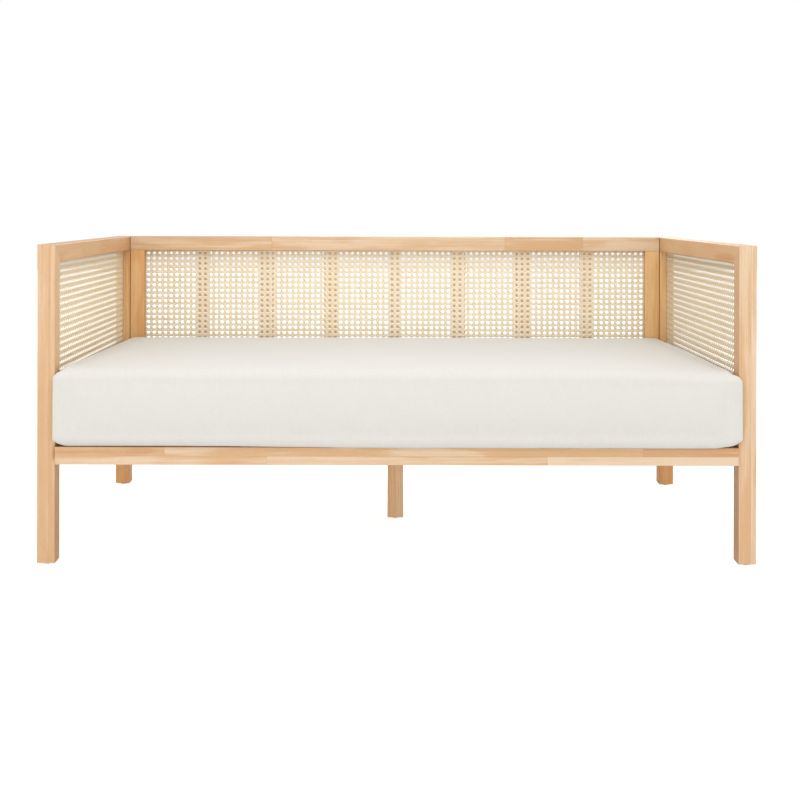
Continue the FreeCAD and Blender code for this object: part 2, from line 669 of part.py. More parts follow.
def beam_hanger(side):
    """A sheet-steel hanger: a back plate on the side rail, and a pocket that the beam's end drops into."""
    inner = "(post_width + 2 * beam_gap)"
    outer = f"({inner} + 2 * bracket_sheet)"
    plate = f"({outer} + 2 * bracket_ear)"
    height = "(beam_height + bracket_sheet)"
    low_x = f"-{INNER_X}" if side == "left" else f"{INNER_X} - bracket_reach"
    hanger = document.addObject("PartDesign::Body", f"{side}_beam_hanger")
    hanger.Label = f"{side}_beam_hanger"
    place(hanger, (low_x, f"support_setback - {plate} / 2", f"{BEAM_LOW} - bracket_sheet"))
    plate_x = "0" if side == "left" else "bracket_reach - bracket_sheet"
    block(hanger, side + "_hanger_plate", "X", (plate_x, "0", "0"), ("bracket_sheet", plate, height))
    size = ("bracket_reach", outer, height)
    block(hanger, side + "_hanger_pocket", "X", ("0", "bracket_ear", "0"), size)
    cut_x = "bracket_sheet" if side == "left" else "0"
    low = (cut_x, "bracket_ear + bracket_sheet", "bracket_sheet")
    cut_block(hanger, side + "_hanger_inside", low, ("bracket_reach - bracket_sheet", inner, "beam_height"))
    origin_y = f"support_setback - {plate} / 2"
    origin_z = f"{BEAM_LOW} - bracket_sheet"
    holes = [(f"{y} - ({origin_y})", f"{z} - ({origin_z})") for y, z in bracket_screw_places()]
    bore(hanger, side + "_hanger_holes", "X", plate_x, holes, "screw_radius", "bracket_sheet")
    keep(hanger)


# ---------------------------------------------------------------- fasteners and glides


def foot_places():
    """The middle of each of the five feet."""
    out_x = f"({OUTER_X} - post_width / 2)"
    corners = [(x, y) for x in (f"-{out_x}", out_x) for y in (f"-{BACK_MIDDLE}", BACK_MIDDLE)]
    return corners + [("0", "support_setback")]


def foot_glides():
    """A nail-on glide under each foot."""
    glides = []
    for number, (x, y) in enumerate(foot_places(), 1):
        disc = ("glide_radius", "glide_height")
        length = "glide_height + nail_length"
        glides.append(headed(f"glide_{number}", (x, y, "0"), "+Z", disc, "nail_radius", length))
    group("foot_glides", glides)


def bolt_places():
    """Side, Y and Z of each frame bolt."""
    front = [(side, f"-{BACK_MIDDLE}", RAIL_MIDDLE) for side in SIDES]
    heights = (RAIL_MIDDLE, "upper_bolt_height")
    back = [(side, BACK_MIDDLE, height) for side in SIDES for height in heights]
    return front + back


def frame_bolts():
    """Flat-headed bolts, from the outside of the posts into the front rail and the back frame."""
    bolts = []
    for number, (side, y, z) in enumerate(bolt_places(), 1):
        direction = "+X" if side == "left" else "-X"
        head = ("bolt_head_radius", "bolt_head_height")
        start = (mirrored(side, OUTER_X), y, z)
        bolts.append(headed(f"bolt_{number}", start, direction, head, "bolt_radius", "bolt_length"))
    group("frame_bolts", bolts)


def barrel_nuts():
    """Cross-drilled barrel nuts that the frame bolts screw into."""
    nuts = []
    for number, (side, y, z) in enumerate(bolt_places(), 1):
        start = (mirrored(side, NUT_X), f"{y} - nut_length / 2", z)
        body = cylinder(f"nut_body_{number}", start, "+Y", "nut_radius", "nut_length")
        start = (f"{mirrored(side, NUT_X)} - 2 * nut_radius", y, z)
        hole = cylinder(f"nut_hole_{number}", start, "+X", "bolt_radius + fit_gap", "4 * nut_radius")
        nut = document.addObject("Part::Cut", f"nut_{number}")
        nut.Base = body
        nut.Tool = hole
        nuts.append(nut)
    group("barrel_nuts", nuts)


def frame_dowels():
    """Wooden dowels in every glued joint of the frames, and in the front rail's ends."""
    post_x = f"({OUTER_X} - post_width / 2)"
    half = "dowel_length / 2"
    rail_y = f"({SIDE_RUN} / 2 + {half})"
    mitre_y = f"({BACK_MIDDLE} - mitre_dowel_shift + {half})"
    starts = []
    for side in SIDES:
        x = mirrored(side, post_x)
        heights = dowel_pair(RAIL_MIDDLE)
        for z in heights:
            starts.append(((x, f"-{rail_y}", z), "+Y"))
            starts.append(((x, rail_y, z), "-Y"))
        for across in dowel_pair(x):
            starts.append(((across, f"-{mitre_y}", TOP_MIDDLE), "+Y"))
            starts.append(((across, mitre_y, TOP_MIDDLE), "-Y"))
        outwards = "-X" if side == "left" else "+X"
        for z in heights:
            front = mirrored(side, f"{INNER_X} - {half}")
            starts.append(((front, f"-{BACK_MIDDLE}", z), outwards))
            back = mirrored(side, f"{PANEL_X} - {half}")
            starts.append(((back, BACK_MIDDLE, z), outwards))
        for across in dowel_pair(mirrored(side, f"{PANEL_X} + post_width / 2"), "stile_dowel_spread"):
            starts.append(((across, BACK_MIDDLE, f"{TOP_LOW} - {half}"), "+Z"))
    dowels = [
        cylinder(f"dowel_{number}", start, direction, "dowel_radius", "dowel_length")
        for number, (start, direction) in enumerate(starts, 1)
    ]
    group("frame_dowels", dowels)


def slat_screws():
    """Two screws through each seat slat, one into each ledge."""
    head = ("screw_head_radius", "screw_head_height")
    screws = []
    for number in range(1, int(value_of("seat_slat_count")) + 1):
        x = f"-{INNER_X} + ({number} - 0.5) * {SEAT_SLAT_PITCH}"
        for end, y in (("front", f"-{LEDGE_MIDDLE}"), ("back", LEDGE_MIDDLE)):
            name = f"slat_screw_{end}_{number}"
            start = (x, y, "seat_height")
            screws.append(headed(name, start, "-Z", head, "screw_radius", "slat_screw_length"))
    group("slat_screws", screws)


def ledge_screws():
    """Screws through the ledges into the front rail and the back frame's lower rail."""
    head = ("screw_head_radius", "screw_head_height")
    z = f"{SEAT_SLAT_LOW} - cleat_screw_drop"
    inner = f"({BACK_Y} - cleat_depth)"
    screws = []
    for number in range(int(value_of("cleat_screw_count"))):
        x = f"({number} - (cleat_screw_count - 1) / 2) * cleat_screw_spacing"
        for end, y, direction in (("front", f"-{inner}", "-Y"), ("back", inner, "+Y")):
            name = f"ledge_screw_{end}_{number + 1}"
            screws.append(headed(name, (x, y, z), direction, head, "screw_radius", "cleat_screw_length"))
    group("ledge_screws", screws)


def hanger_screws():
    """Two screws through each beam hanger's plate into the side rail."""
    head = ("screw_head_radius", "screw_head_height")
    screws = []
    for side in SIDES:
        face = f"{INNER_X} - bracket_sheet - screw_head_height"
        direction = "-X" if side == "left" else "+X"
        for number, (y, z) in enumerate(bracket_screw_places(), 1):
            name = f"hanger_screw_{side}_{number}"
            start = (mirrored(side, face), y, z)
            screws.append(headed(name, start, direction, head, "screw_radius", "bracket_screw_length"))
    group("hanger_screws", screws)


def leg_bolt():
    """The double-ended bolt that holds the centre leg to the beam."""
    start = ("0", "support_setback", f"{BEAM_LOW} + hanger_reach - hanger_length")
    bolt = cylinder("leg_bolt", start, "+Z", "hanger_radius", "hanger_length")
    bolt.Label = "leg_bolt"
    keep(bolt)


# ---------------------------------------------------------------- mattress


def soft_block(name, inset):
    """A block with rounded corners and edges, inset from the outside of the mattress on every side."""
    half = f"({INNER_X} - mattress_gap - {inset})"
    front = f"({FRONT_Y} + {inset})"
    back = f"({BACK_Y} - mattress_gap - {inset})"
    low_z = f"(seat_height + mattress_lift_gap + {inset})"
    plain = document.addObject("Part::Box", name + "_block")
    place(plain, (f"-{half}", front, low_z))
    bind(plain, "Length", f"2 * {half}")
    bind(plain, "Width", f"{back} - {front}")
    bind(plain, "Height", f"mattress_thickness - 2 * {inset}")
    document.recompute()
    upright = DIRECTIONS["+Z"]
    corner = value_of(f"mattress_corner - {inset}")
    edge = value_of(f"mattress_edge - {inset}")
    corners = document.addObject("Part::Fillet", name + "_corners")
    corners.Base = plain
    corners.Edges = [
        (number, corner, corner)
        for number, line in enumerate(plain.Shape.Edges, 1)
        if abs(line.tangentAt(line.FirstParameter).dot(upright)) > 0.99
    ]
    document.recompute()
    flat = (plain.Shape.BoundBox.ZMin, plain.Shape.BoundBox.ZMax)
    rounded = document.addObject("Part::Fillet", name)
    rounded.Base = corners
    rounded.Edges = [
        (number, edge, edge)
        for number, line in enumerate(corners.Shape.Edges, 1)
        if line.BoundBox.ZLength < 1e-6 and min(abs(line.BoundBox.ZMin - z) for z in flat) < 1e-6
    ]
    document.recompute()
    return rounded


def mattress():
    """A foam core inside a quilted cover."""
    core = soft_block("mattress_core", "(cover_thickness + cover_gap)")
    core.Label = "mattress_core"
    outside = soft_block("mattress_outside", "0")
    inside = soft_block("mattress_inside", "cover_thickness")
    cover = document.addObject("Part::Cut", "mattress_cover")
    cover.Label = "mattress_cover"
    cover.Base = outside
    cover.Tool = inside
    keep(core)
    keep(cover)


# ---------------------------------------------------------------- whole bed


def check_and_write():
    """Stops on any failed object or bad shape, then writes one file for each sub-part."""
    document.recompute()
    for item in document.Objects:
        failed = {"Invalid", "Error"} & set(item.State)
        if failed:
            raise RuntimeError(f"{item.Label} is {failed}")
    for item in subparts:
        if item.Shape.isNull() or not item.Shape.isValid() or not item.Shape.Solids:
            raise RuntimeError(f"{item.Label} has a bad shape")
    os.makedirs("parts", exist_ok=True)
    for item in subparts:
        item.Shape.exportStep(f"parts/{item.Label}.step")
        box = item.Shape.BoundBox
        print(
            f"{item.Label}: {len(item.Shape.Solids)} solid(s), {item.Shape.Volume / 1000:.1f} cm3,"
            f" x {box.XMin:.1f} {box.XMax:.1f} y {box.YMin:.1f} {box.YMax:.1f}"
            f" z {box.ZMin:.1f} {box.ZMax:.1f}"
        )
    print(len(subparts), "sub-parts")


fill_sheet()
for side in SIDES:
    front_post(side)
    back_post(side)
    top_rail(side)
    side_rail(side)
    end_cane(side)
    back_stile(side)
    beam_hanger(side)
front_rail()
back_top_rail()
back_bottom_rail()
for number in range(1, int(value_of("back_slat_count")) + 1):
    back_slat(number)
back_cane()
ledge("front_ledge", f"-{BACK_Y}", "0", "cleat_depth - screw_head_height")
ledge("back_ledge", f"{BACK_Y} - cleat_depth", "0", "0")
for number in range(1, int(value_of("seat_slat_count")) + 1):
    seat_slat(number)
centre_beam()
centre_leg()
foot_glides()
frame_bolts()
barrel_nuts()
frame_dowels()
slat_screws()
ledge_screws()
hanger_screws()
leg_bolt()
mattress()
check_and_write()
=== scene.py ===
"""The looks of a daybed: oiled rubberwood, woven cane, steel fittings and a mattress in a linen cover.

Lengths are metres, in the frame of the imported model: X along the bed, -Y its open front, +Z up.
"""

import math

import bmesh
import bpy
import numpy as np
from mathutils import Euler, Matrix, Vector, noise


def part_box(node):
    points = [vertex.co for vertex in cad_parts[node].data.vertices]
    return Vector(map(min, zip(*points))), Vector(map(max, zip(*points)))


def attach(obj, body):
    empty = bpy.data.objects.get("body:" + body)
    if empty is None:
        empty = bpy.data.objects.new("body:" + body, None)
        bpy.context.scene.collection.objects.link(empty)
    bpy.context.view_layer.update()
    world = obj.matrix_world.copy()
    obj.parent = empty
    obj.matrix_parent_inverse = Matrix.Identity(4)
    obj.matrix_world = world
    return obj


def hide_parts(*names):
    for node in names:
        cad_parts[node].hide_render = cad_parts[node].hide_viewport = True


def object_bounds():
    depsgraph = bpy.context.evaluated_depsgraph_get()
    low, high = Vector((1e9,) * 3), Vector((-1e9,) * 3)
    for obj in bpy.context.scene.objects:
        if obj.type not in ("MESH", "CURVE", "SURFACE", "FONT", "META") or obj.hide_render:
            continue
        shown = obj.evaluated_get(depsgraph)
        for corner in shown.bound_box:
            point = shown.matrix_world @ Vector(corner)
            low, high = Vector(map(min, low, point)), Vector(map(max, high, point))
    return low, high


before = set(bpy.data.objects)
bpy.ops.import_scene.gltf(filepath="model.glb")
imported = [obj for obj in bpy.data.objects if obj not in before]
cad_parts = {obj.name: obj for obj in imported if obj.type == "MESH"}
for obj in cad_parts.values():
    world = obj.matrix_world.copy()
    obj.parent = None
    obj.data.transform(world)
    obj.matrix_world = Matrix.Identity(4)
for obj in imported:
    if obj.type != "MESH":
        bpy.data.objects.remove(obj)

cad_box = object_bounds()

MM = 0.001
X, Y, Z = 0, 1, 2


# ---------------------------------------------------------------- camera, light and stage

CAMERA_PLACE = (-0.029, -3.725, 0.993)
CAMERA_LENS_MM = 52.33
CAMERA_ROLL = math.radians(0.12)
CAMERA_SHIFT = (0.0164, -0.2399)
FLOOR_REACH = 15
FLOOR_GLOW = 0.75
WORLD_CAST = 0.97


def make_camera():
    """A level camera in front of the bed, at the height of the top rails."""
    data = bpy.data.cameras.new("camera")
    data.lens = CAMERA_LENS_MM
    data.sensor_width = 36
    data.shift_x, data.shift_y = CAMERA_SHIFT
    data.clip_end = 60
    camera = bpy.data.objects.new("camera", data)
    bpy.context.scene.collection.objects.link(camera)
    level = Euler((math.radians(90), 0, 0)).to_matrix() @ Matrix.Rotation(CAMERA_ROLL, 3, "Z")
    camera.rotation_euler = level.to_euler()
    camera.location = CAMERA_PLACE
    bpy.context.scene.camera = camera


def soft_box(name, place, target, width, height, power):
    """A rectangular studio light at a place, aimed at a target."""
    data = bpy.data.lights.new(name, "AREA")
    data.shape = "RECTANGLE"
    data.size, data.size_y = width, height
    data.energy = power
    light = bpy.data.objects.new(name, data)
    bpy.context.scene.collection.objects.link(light)
    light.location = place
    light.rotation_euler = (Vector(target) - Vector(place)).to_track_quat("-Z", "Y").to_euler()


def make_lights():
    middle = (cad_box[0] + cad_box[1]) / 2
    soft_box("key", (-2.2, -5.2, 0.9), middle, 3.0, 1.6, 48)
    soft_box("fill", (2.4, -5.0, 0.8), middle, 2.4, 1.5, 25)
    soft_box("top", (0.0, -1.5, 3.4), (0.0, 0.4, 0.6), 3.4, 2.0, 36)
    soft_box("rear", (0.8, 4.6, 2.6), middle, 3.0, 2.0, 60)


def make_world():
    """White to the eye, and a little weaker as a light so that the soft boxes still shape the form."""
    world = bpy.data.worlds.new("studio")
    bpy.context.scene.world = world
    world.use_nodes = True
    nodes, links = world.node_tree.nodes, world.node_tree.links
    nodes.clear()
    shown = nodes.new("ShaderNodeBackground")
    shown.inputs["Strength"].default_value = 1.0
    shown.inputs["Color"].default_value = (1, 1, 1, 1)
    cast = nodes.new("ShaderNodeBackground")
    cast.inputs["Strength"].default_value = WORLD_CAST
    cast.inputs["Color"].default_value = (1.0, 0.998, 0.995, 1)
    path = nodes.new("ShaderNodeLightPath")
    either = nodes.new("ShaderNodeMixShader")
    out = nodes.new("ShaderNodeOutputWorld")
    links.new(path.outputs["Is Camera Ray"], either.inputs["Fac"])
    links.new(cast.outputs[0], either.inputs[1])
    links.new(shown.outputs[0], either.inputs[2])
    links.new(either.outputs[0], out.inputs["Surface"])


def make_floor():
    """A pale studio floor that glows to the camera only, so shadows on it stay light."""
    form = bmesh.new()
    bmesh.ops.create_grid(form, x_segments=8, y_segments=8, size=FLOOR_REACH)
    mesh = bpy.data.meshes.new("floor")
    form.to_mesh(mesh)
    form.free()
    floor = bpy.data.objects.new("floor", mesh)
    bpy.context.scene.collection.objects.link(floor)
    tree = Tree("studio_floor")
    tree.set("Base Color", (0.8, 0.8, 0.8, 1))
    tree.set("Roughness", 0.9)
    tree.set("Emission Color", (1, 1, 1, 1))
    seen = tree.add("ShaderNodeLightPath", "Is Camera Ray")[1]
    tree.set("Emission Strength", tree.math("MULTIPLY", seen, FLOOR_GLOW))
    mesh.materials.append(tree.material)


# ---------------------------------------------------------------- node trees

def srgb(red, green, blue):
    """A linear colour from 8-bit display values."""
    linear = [((v / 255 + 0.055) / 1.055) ** 2.4 for v in (red, green, blue)]
    return (*linear, 1.0)


class Tree:
    """A material's node tree around one Principled shader.

    Most methods add a node and return its output. A value can be a number or another node's output.
    """

    def __init__(self, name):
        self.material = bpy.data.materials.new(name)
        self.material.use_nodes = True
        self.nodes = self.material.node_tree.nodes
        self.links = self.material.node_tree.links
        self.nodes.clear()
        self.shader = self.nodes.new("ShaderNodeBsdfPrincipled")
        output = self.nodes.new("ShaderNodeOutputMaterial")
        self.links.new(self.shader.outputs["BSDF"], output.inputs["Surface"])

    def put(self, socket, value):
        """Links an output to a socket, or sets a plain value on it."""
        if isinstance(value, bpy.types.NodeSocket):
            self.links.new(value, socket)
        else:
            socket.default_value = value

    def set(self, name, value):
        """Sets or links an input of the shader."""
        self.put(self.shader.inputs[name], value)

    def add(self, kind, output=0, **settings):
        """A node whose keyword settings are its properties, and one of its outputs."""
        node = self.nodes.new(kind)
        for name, value in settings.items():
            setattr(node, name, value)
        return node, node.outputs[output]

    def math(self, operation, *values):
        node, out = self.add("ShaderNodeMath", operation=operation)
        for socket, value in zip(node.inputs, values):
            self.put(socket, value)
        return out

    def vector(self, operation, *values):
        node, out = self.add("ShaderNodeVectorMath", operation=operation)
        for socket, value in zip(node.inputs, values):
            self.put(socket, value)
        return out

    def length(self, vector):
        node, out = self.add("ShaderNodeVectorMath", "Value", operation="LENGTH")
        self.put(node.inputs[0], vector)
        return out

    def place(self):
        """Where a point is on the object, in metres."""
        return self.add("ShaderNodeTexCoord", "Object")[1]

    def split(self, vector):
        node, _ = self.add("ShaderNodeSeparateXYZ")
        self.put(node.inputs[0], vector)
        return list(node.outputs)

    def join(self, *values):
        node, out = self.add("ShaderNodeCombineXYZ")
        for socket, value in zip(node.inputs, values):
            self.put(socket, value)
        return out

    def noise(self, vector, scale, detail=2.0, roughness=0.5):
        """Soft noise from 0 to 1 around 0.5. The scale is one number, or three along the axes."""
        if not isinstance(scale, (int, float)):
            vector, scale = self.vector("MULTIPLY", vector, scale), 1.0
        node, out = self.add("ShaderNodeTexNoise", "Fac")
        self.put(node.inputs["Vector"], vector)
        node.inputs["Scale"].default_value = scale
        node.inputs["Detail"].default_value = detail
        node.inputs["Roughness"].default_value = roughness
        return out

    def random(self, vector, output="Value"):
        """One random number, or a random vector from Color, for each vector."""
        node, out = self.add("ShaderNodeTexWhiteNoise", output, noise_dimensions="3D")
        self.put(node.inputs["Vector"], vector)
        return out

    def ramp(self, value, low, high, to_low=0.0, to_high=1.0):
        """A smooth step from to_low to to_high while the value goes from low to high."""
        node, out = self.add("ShaderNodeMapRange", interpolation_type="SMOOTHSTEP")
        for name, number in (("Value", value), ("From Min", low), ("From Max", high),
                             ("To Min", to_low), ("To Max", to_high)):
            self.put(node.inputs[name], number)
        return out

    def mix(self, share, first, second, blend="MIX"):
        """A blend of two colours."""
        node, _ = self.add("ShaderNodeMix", data_type="RGBA", blend_type=blend)
        self.put(node.inputs["Factor"], share)
        colours = [socket for socket in node.inputs if socket.type == "RGBA"]
        self.put(colours[0], first)
        self.put(colours[1], second)
        return next(socket for socket in node.outputs if socket.type == "RGBA")

    def bump(self, height, distance, strength):
        """Relief of a height that goes from 0 to 1, this many metres deep."""
        node, out = self.add("ShaderNodeBump")
        self.put(node.inputs["Height"], height)
        node.inputs["Distance"].default_value = distance
        node.inputs["Strength"].default_value = strength
        self.set("Normal", out)


def dress(node, material):
    """Gives a CAD node's object another material."""
    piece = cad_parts[node]
    if not piece.material_slots:
        piece.data.materials.append(material)
    for slot in piece.material_slots:
        slot.link = "OBJECT"
        slot.material = material


# ---------------------------------------------------------------- wood

PALE = srgb(216, 191, 160)
HONEY = srgb(203, 161, 117)
RUDDY = srgb(188, 135, 88)
DEEP = srgb(154, 97, 54)

# Tints that multiply a piece's colour.
GOLD = (1.12, 0.95, 0.66)
STRAW = (1.0, 0.98, 0.90)
# Painted light: brightens and warms the back slats, which sit in shade behind the cane.
PAINTED_LIGHT_ON_SLATS = (1.20, 1.07, 0.80)
# Painted light: brightens the centre leg, which stands in the shade under the bed.
PAINTED_LIGHT_UNDER_BED = (1.28, 1.16, 1.0)

# Noise scales along the grain and on the two axes across it. A larger number is finer.
WARP_SCALE = (2.6, 14, 14)
STREAK_SCALE = (1.6, 150, 150)
FIBRE_SCALE = (14, 620, 620)
PORE_SCALE = (70, 1500, 1500)
CLOUD_SCALE = (1.1, 9, 9)
KNOT_SCALE = (5.5, 26, 26)

RING_SPACING = 0.0065
RING_WARP = 0.030
CUT_SPREAD = (7, 7, 7)
PITH_DRIFT = (0, 0.10, 0.06)
KNOTLESS = 0.86
NO_JOINT = 10.0
POST_STRIP = 0.0335
BACK_SLATS = 7
SEAT_SLATS = 14

# Rows of staves, one row for each strip. A stave is its start, as a share of the length, and its tone.
FRONT_RAIL_STAVES = (
    ((0.0, 0.20), (0.31, 0.36), (0.72, -0.05)),
    ((0.0, 0.56), (0.16, 0.32), (0.86, 0.56)),
)
# Each back post has a joint 40% up, and its lower stave is darker: painted shade, where the bed shades the
# legs.
BACK_POST_STAVES_SHADED_BELOW = (((0.0, 0.60), (0.40, 0.26)),)
BACK_RAIL_STAVES = (((0.0, 0.36), (0.267, 0.24), (0.708, 0.44), (0.855, 0.12)),)


def listed_staves(tree, along, strip_number, rows):
    """A stave's number, its tone and the distance to the nearest joint, from one or two rows of staves.

    Starts are places along the grain here. With two rows, strip_number 0 has the first, and 1 the second.
    """
    strips = []
    for row in rows:
        number, tone, nearest = 0.0, row[0][1], NO_JOINT
        for (start, new), (_, old) in zip(row[1:], row):
            passed = tree.math("GREATER_THAN", along, start)
            number = tree.math("ADD", passed, number)
            tone = tree.math("MULTIPLY_ADD", passed, new - old, tone)
            away = tree.math("ABSOLUTE", tree.math("SUBTRACT", along, start))
            nearest = tree.math("MINIMUM", away, nearest)
        strips.append((number, tone, nearest))
    if len(strips) == 1:
        return strips[0]
    return [tree.math("MULTIPLY_ADD", tree.math("SUBTRACT", second, first), strip_number, first)
            for first, second in zip(*strips)]


def wood(node, grain, seed, tone, strip_axis, strip=0.025, stave=None, flame=0.5, spread=0.3,
         staves=None, tint=None):
    """Laminated rubberwood with its grain along an axis.

    Strips lie side by side along strip_axis. A strip is one piece, or a row of staves of an even length,
    or the staves listed as shares of the length. Tone goes from 0, pale, to 1, ruddy, and listed staves
    bring their own. Spread is how far the strips and staves differ, flame is how strongly the growth
    rings show, and a tint multiplies the colour.
    """
    low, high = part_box(node)
    third = 3 - grain - strip_axis
    tree = Tree(node)
    place = tree.split(tree.place())
    along = place[grain]
    across = tree.math("SUBTRACT", place[strip_axis], low[strip_axis])
    strip_place = tree.math("DIVIDE", across, strip)
    strip_number = tree.math("FLOOR", strip_place)
    stave_number, stave_edge = 0.0, NO_JOINT
    if stave:
        strip_random = tree.random(tree.join(strip_number, seed, 0.5))
        start = tree.math("MULTIPLY", strip_random, 9)
        stave_place = tree.math("MULTIPLY_ADD", along, 1 / stave, start)
        stave_number = tree.math("FLOOR", stave_place)
        stave_edge = tree.math("MULTIPLY", tree.math("PINGPONG", stave_place, 0.5), stave)
    if staves:
        length = high[grain] - low[grain]
        rows = [[(low[grain] + share * length, own) for share, own in row] for row in staves]
        stave_number, tone, stave_edge = listed_staves(tree, along, strip_number, rows)
    cell = tree.join(strip_number, stave_number, seed)
    stave_random = tree.random(cell)
    shift = tree.random(cell, "Color")

    # The grain of each stave is cut from another place in the tree.
    straight = tree.join(along, across, place[third])
    local = tree.vector("ADD", straight, tree.vector("MULTIPLY", shift, CUT_SPREAD))
    drift = tree.vector("MULTIPLY", tree.vector("SUBTRACT", shift, (0.5, 0.5, 0.5)), PITH_DRIFT)
    pith = tree.vector("ADD", tree.vector("MULTIPLY", straight, (0, 1, 1)), drift)
    reach = tree.length(pith)
    warp = tree.noise(local, WARP_SCALE)
    warp = tree.math("MULTIPLY", warp, RING_WARP * flame)
    age = tree.math("MULTIPLY", tree.math("ADD", reach, warp), 2 * math.pi / RING_SPACING)
    rings = tree.ramp(tree.math("SINE", age), -1.0, 1.0)
    streak = tree.noise(local, STREAK_SCALE, detail=4, roughness=0.6)
    fibre = tree.noise(local, FIBRE_SCALE, detail=3, roughness=0.6)
    pore = tree.ramp(tree.noise(local, PORE_SCALE, detail=1), 0.62, 0.76)
    cloud = tree.noise(local, CLOUD_SCALE)

    # Knots are rare: most cells hold none.
    cells, distance = tree.add("ShaderNodeTexVoronoi", "Distance")
    tree.put(cells.inputs["Vector"], tree.vector("MULTIPLY", local, KNOT_SCALE))
    cells.inputs["Scale"].default_value = 1.0
    knot_here = tree.math("GREATER_THAN", tree.split(cells.outputs["Color"])[0], KNOTLESS)
    knot = tree.math("MULTIPLY", tree.ramp(distance, 0.20, 0.05), knot_here)

    share = tree.math("MULTIPLY_ADD", tree.math("SUBTRACT", stave_random, 0.5), spread, tone)
    share = tree.math("MULTIPLY_ADD", tree.math("SUBTRACT", cloud, 0.5), 0.55, share)
    share = tree.math("MULTIPLY_ADD", tree.math("SUBTRACT", streak, 0.5), 0.75, share)
    share = tree.math("MULTIPLY_ADD", tree.math("SUBTRACT", rings, 0.4), 0.36 * flame, share)
    share = tree.math("MULTIPLY_ADD", tree.math("SUBTRACT", fibre, 0.5), 0.55, share)
    light_half = tree.mix(tree.ramp(share, 0.0, 0.5), PALE, HONEY)
    colour = tree.mix(tree.ramp(share, 0.5, 1.0), light_half, RUDDY)
    colour = tree.mix(tree.math("MULTIPLY", pore, 0.30), colour, DEEP)
    colour = tree.mix(tree.math("MULTIPLY", knot, 0.75), colour, DEEP)
    if tint:
        colour = tree.mix(1.0, colour, (*tint, 1.0), "MULTIPLY")

    # A thin line where two strips or two staves are glued.
    strip_edge = tree.math("MULTIPLY", tree.math("PINGPONG", strip_place, 0.5), strip)
    glue = tree.ramp(tree.math("MINIMUM", strip_edge, stave_edge), 0.0003, 0.0011, 1.0, 0.0)
    colour = tree.mix(tree.math("MULTIPLY", glue, 0.28), colour, DEEP)

    tree.set("Base Color", colour)
    gloss = tree.math("MULTIPLY_ADD", fibre, 0.22, 0.36)
    tree.set("Roughness", tree.math("MULTIPLY_ADD", pore, 0.2, gloss))
    tree.set("Coat Weight", 0.12)
    tree.set("Coat Roughness", 0.35)
    relief = tree.math("MULTIPLY_ADD", pore, -0.8, tree.math("MULTIPLY", fibre, 0.5))
    relief = tree.math("MULTIPLY_ADD", glue, -0.6, relief)
    tree.bump(relief, 0.00025, 0.6)
    return tree.material


def dress_wood():
    """Every wooden node in its own cut of the same timber."""
    cuts = {}
    for index, end in enumerate(("left", "right")):
        cuts[f"{end}_front_post"] = dict(grain=Z, seed=3.4 + index, tone=0.48 - 0.16 * index, strip_axis=X,
                                         strip=POST_STRIP, flame=0.55, spread=0.12)
        cuts[f"{end}_back_post"] = dict(grain=Z, seed=8.6 + index, tone=0, strip_axis=X,
                                        strip=POST_STRIP, flame=0.6, staves=BACK_POST_STAVES_SHADED_BELOW, tint=GOLD)
        cuts[f"{end}_top_rail"] = dict(grain=Y, seed=11.3 + index, tone=0.60, strip_axis=Z,
                                       strip=0.05, flame=0.6, tint=STRAW)
        cuts[f"{end}_side_rail"] = dict(grain=Y, seed=14.7 + index, tone=0.45, strip_axis=Z, stave=0.5)
        cuts[f"back_{end}_stile"] = dict(grain=Z, seed=17.9 + index, tone=0.20, strip_axis=X,
                                         strip=0.05, flame=0.7, tint=GOLD)
    cuts["front_rail"] = dict(grain=X, seed=21.4, tone=0, strip_axis=Z, flame=0.7, spread=0,
                              staves=FRONT_RAIL_STAVES)
    cuts["back_top_rail"] = dict(grain=X, seed=24.2, tone=0, strip_axis=Z, strip=0.05, flame=0.6, spread=0,
                                 staves=BACK_RAIL_STAVES)
    cuts["back_bottom_rail"] = dict(grain=X, seed=26.2, tone=0.4, strip_axis=Z, stave=0.5)
    # The back slats' tint is painted light over their shade behind the cane.
    for number in range(1, BACK_SLATS + 1):
        cuts[f"back_slat_{number}"] = dict(grain=Z, seed=30.5 + number, tone=0.10, strip_axis=X,
                                           strip=0.05, flame=0.35, tint=PAINTED_LIGHT_ON_SLATS)
    # The centre leg's pale tone and tint are painted light over the shade under the bed.
    cuts["centre_leg"] = dict(grain=Z, seed=41.0, tone=0.10, strip_axis=X, tint=PAINTED_LIGHT_UNDER_BED)
    cuts["centre_beam"] = dict(grain=X, seed=43.0, tone=0.4, strip_axis=Z, strip=0.032, stave=0.6)
    for side, seed in (("front", 50.0), ("back", 49.0)):
        cuts[f"{side}_ledge"] = dict(grain=X, seed=seed, tone=0.4, strip_axis=Z, strip=0.03, stave=0.6)
    for number in range(1, SEAT_SLATS + 1):
        cuts[f"seat_slat_{number}"] = dict(grain=Y, seed=50.5 + number, tone=0.35, strip_axis=X,
                                           strip=0.07, flame=0.6)
    cuts["frame_dowels"] = dict(grain=Y, seed=70.0, tone=0.4, strip_axis=X, strip=1.0, flame=0.4)
    for node, cut in cuts.items():
        dress(node, wood(node, **cut))


# ---------------------------------------------------------------- metal and plastic

def steel(name, colour, roughness, coat):
    """Plated steel with fine turning marks and a few dull patches."""
    tree = Tree(name)
    place = tree.place()
    marks = tree.noise(place, 2600, detail=2)
    patches = tree.noise(place, 90, detail=3)
    shade = tree.mix(patches, colour, tuple(0.82 * v for v in colour[:3]) + (1,))
    tree.set("Base Color", shade)
    tree.set("Metallic", 1.0)
    tree.set("Coat Weight", coat)
    blur = tree.math("MULTIPLY_ADD", patches, 0.18, roughness)
    tree.set("Roughness", tree.math("MULTIPLY_ADD", marks, 0.08, blur))
    tree.bump(marks, 0.00004, 0.5)
    return tree.material


